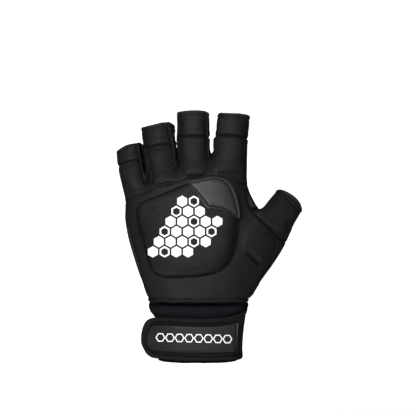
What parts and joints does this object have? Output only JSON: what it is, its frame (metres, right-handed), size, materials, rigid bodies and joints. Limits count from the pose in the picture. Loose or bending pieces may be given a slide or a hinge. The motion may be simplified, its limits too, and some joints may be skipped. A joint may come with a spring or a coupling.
{
  "type": "field hockey glove",
  "caption": "Half-finger glove for a left hand with a padded back, a corner patch and a wrist strap, shown in the form of an open hand.",
  "frame": {"origin": "middle of the wrist opening at the lower end of the cuff, where the hand goes in", "axes": "+Z along the hand towards the fingers, -Y out of the back of the hand, +X towards the thumb"},
  "size_m": [0.1426, 0.0503, 0.1886],
  "materials": {
    "hand_shell": "matte knit over foam",
    "finger_section": "matte knit over foam",
    "thumb_stall": "matte knit over foam",
    "little_finger_band": "matte knit over foam",
    "ring_finger_band": "matte knit over foam",
    "middle_finger_band": "matte knit over foam",
    "index_finger_band": "matte knit over foam",
    "wrist_welt": "matte knit over foam",
    "knuckle_pad": "matte knit over foam",
    "strap": "matte knit over foam",
    "wrist_band": "matte navy-black knit",
    "strap_binding": "woven tape",
    "little_ring_gap_seam": "rolled seam",
    "ring_middle_gap_seam": "rolled seam",
    "middle_index_gap_seam": "rolled seam",
    "corner_patch": "smooth coated",
    "strap_label": "smooth coated"
  },
  "bodies": {
    "root": {"hand_shell": "hand_shell", "finger_section": "finger_section", "thumb_stall": "thumb_stall", "little_finger_band": "little_finger_band", "ring_finger_band": "ring_finger_band", "middle_finger_band": "middle_finger_band", "index_finger_band": "index_finger_band", "wrist_welt": "wrist_welt", "knuckle_pad": "knuckle_pad", "strap": "strap", "wrist_band": "wrist_band", "strap_binding": "strap_binding", "little_ring_gap_seam": "little_ring_gap_seam", "ring_middle_gap_seam": "ring_middle_gap_seam", "middle_index_gap_seam": "middle_index_gap_seam", "corner_patch": "corner_patch", "strap_label": "strap_label"}
  },
  "joints": []
}
